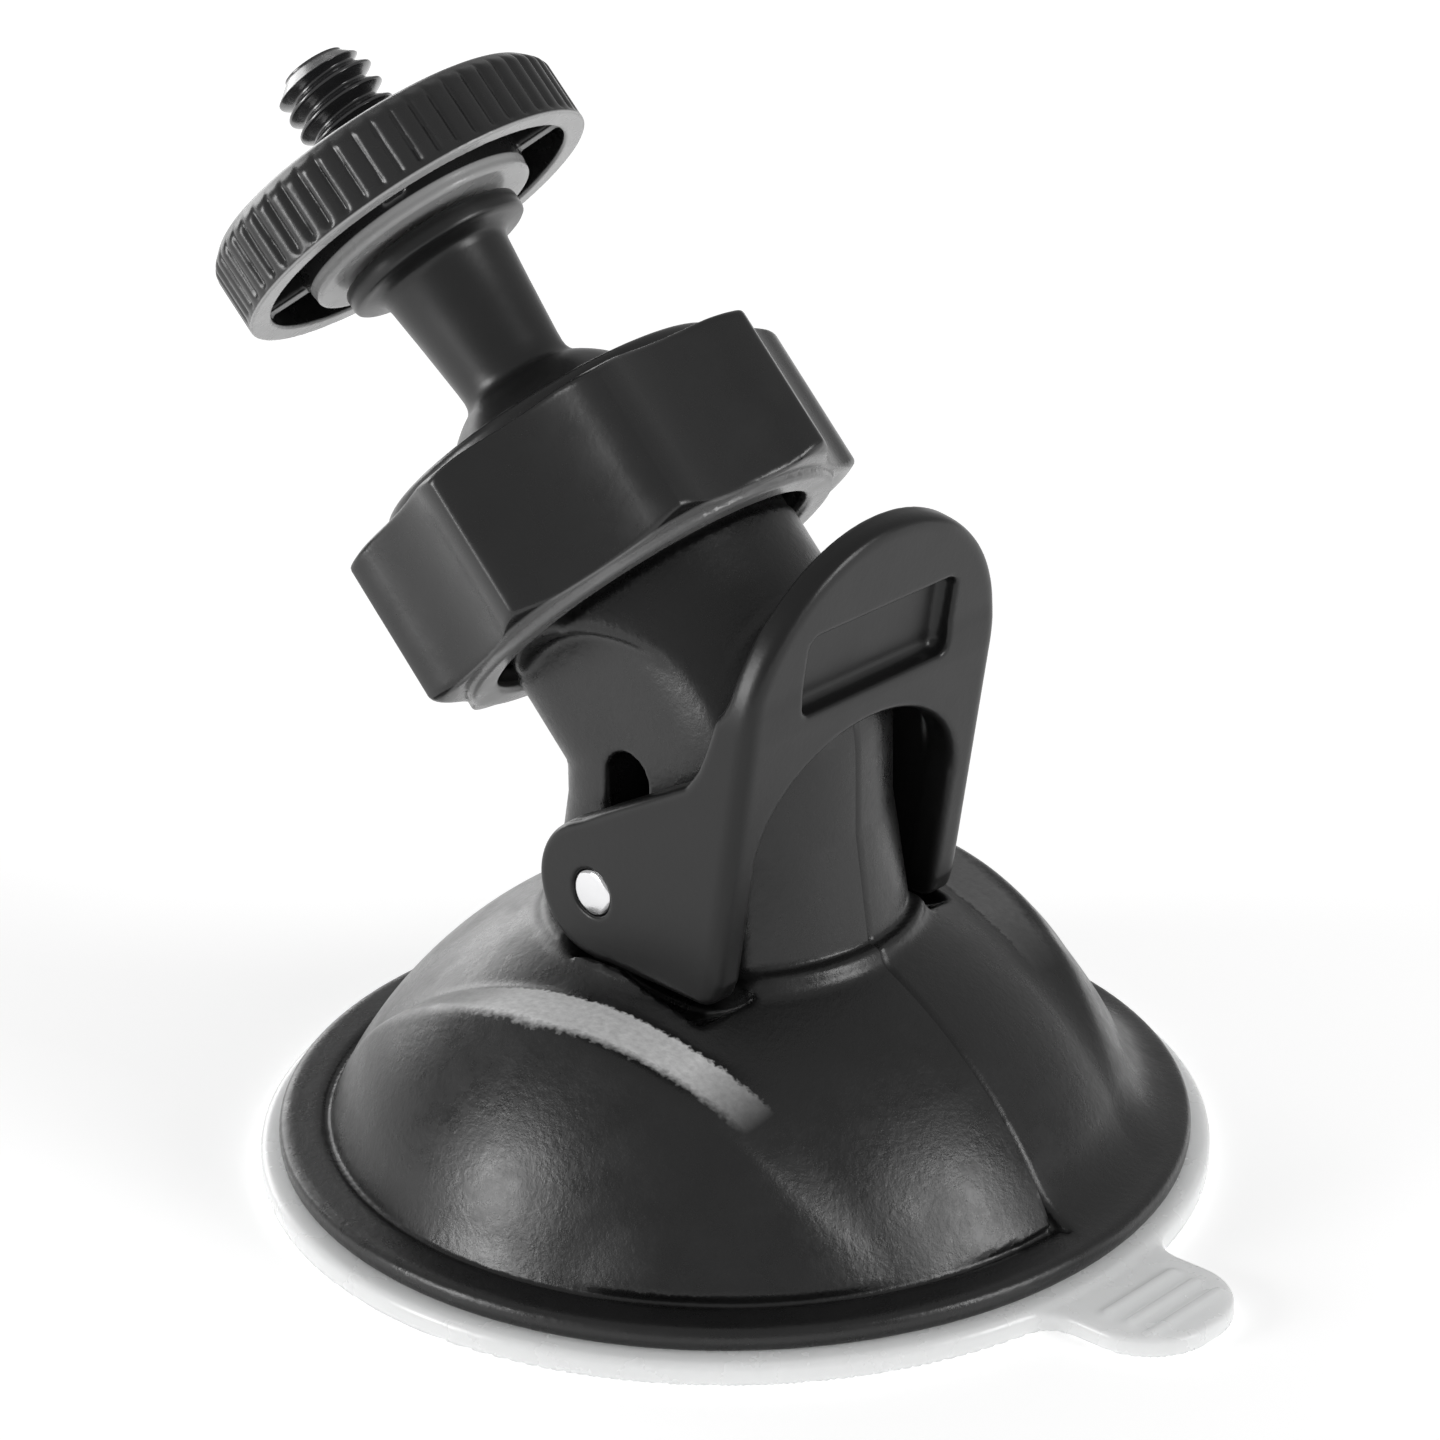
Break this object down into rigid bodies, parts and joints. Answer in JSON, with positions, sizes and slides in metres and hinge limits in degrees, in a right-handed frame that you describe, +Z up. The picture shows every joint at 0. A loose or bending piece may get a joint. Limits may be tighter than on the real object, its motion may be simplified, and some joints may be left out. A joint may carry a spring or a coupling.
{
  "type": "suction cup camera mount",
  "caption": "Suction cup dash mount for a small camera: domed base, over-centre lever, locking ball joint and a quarter-inch camera screw with a thumbwheel.",
  "frame": {"origin": "centre of the suction pad's flat underside, on the surface that the mount stands on", "axes": "+Z up, away from that surface; +X towards the lever's handle and the pull tab; +Y along the lever's hinge pin; the neck and ball joint lean to -X"},
  "size_m": [0.0751, 0.06, 0.0673],
  "materials": {
    "black_plastic": "satin, fine moulded texture",
    "clear_pad": "soft clear PVC, milky at the edge",
    "inner_plastic": "plain moulded",
    "pin_steel": "polished",
    "spring_steel": "drawn wire",
    "black_screw": "glossy black oxide"
  },
  "bodies": {
    "base": {"base_housing": "black_plastic", "suction_pad": "clear_pad", "return_spring": "spring_steel"},
    "draw": {"draw_shaft": "inner_plastic", "pad_core": "inner_plastic", "pivot_pin": "pin_steel"},
    "lever_body": {"lever": "black_plastic"},
    "ring": {"locking_ring": "black_plastic"},
    "seat": {"ball_seat": "inner_plastic"},
    "stud": {"ball_stud": "black_plastic", "camera_screw": "black_screw"},
    "wheel": {"thumbwheel": "black_plastic"}
  },
  "joints": [
    {"name": "draw_lift", "type": "slide", "parent": "base", "child": "draw", "axis": [0, 0, 1], "range_m": [0, 0.005], "deforming": ["return_spring"]},
    {"name": "lever_swing", "type": "hinge", "parent": "draw", "child": "lever_body", "pos_m": [-0.0012, 0, 0.0211], "axis": [0, 1, 0], "range_deg": [0, 68]},
    {"name": "ring_turn", "type": "hinge", "parent": "base", "child": "ring", "pos_m": [-0.01209, 0, 0.04202], "axis": [-0.6947, 0, 0.7193], "range_deg": [0, 180]},
    {"name": "ball_swivel", "type": "hinge", "parent": "base", "child": "seat", "pos_m": [-0.01209, 0, 0.04202], "axis": [-0.6947, 0, 0.7193], "continuous": true},
    {"name": "ball_tilt", "type": "hinge", "parent": "seat", "child": "stud", "pos_m": [-0.01209, 0, 0.04202], "axis": [0, 1, 0], "range_deg": [-35, 35]},
    {"name": "wheel_turn", "type": "hinge", "parent": "stud", "child": "wheel", "pos_m": [-0.01209, 0, 0.04202], "axis": [-0.6912, -0.0362, 0.7218], "continuous": true}
  ],
  "couplings": [
    {"joint": "draw_lift", "follows": "lever_swing", "m_per_rad": 0.004212}
  ]
}
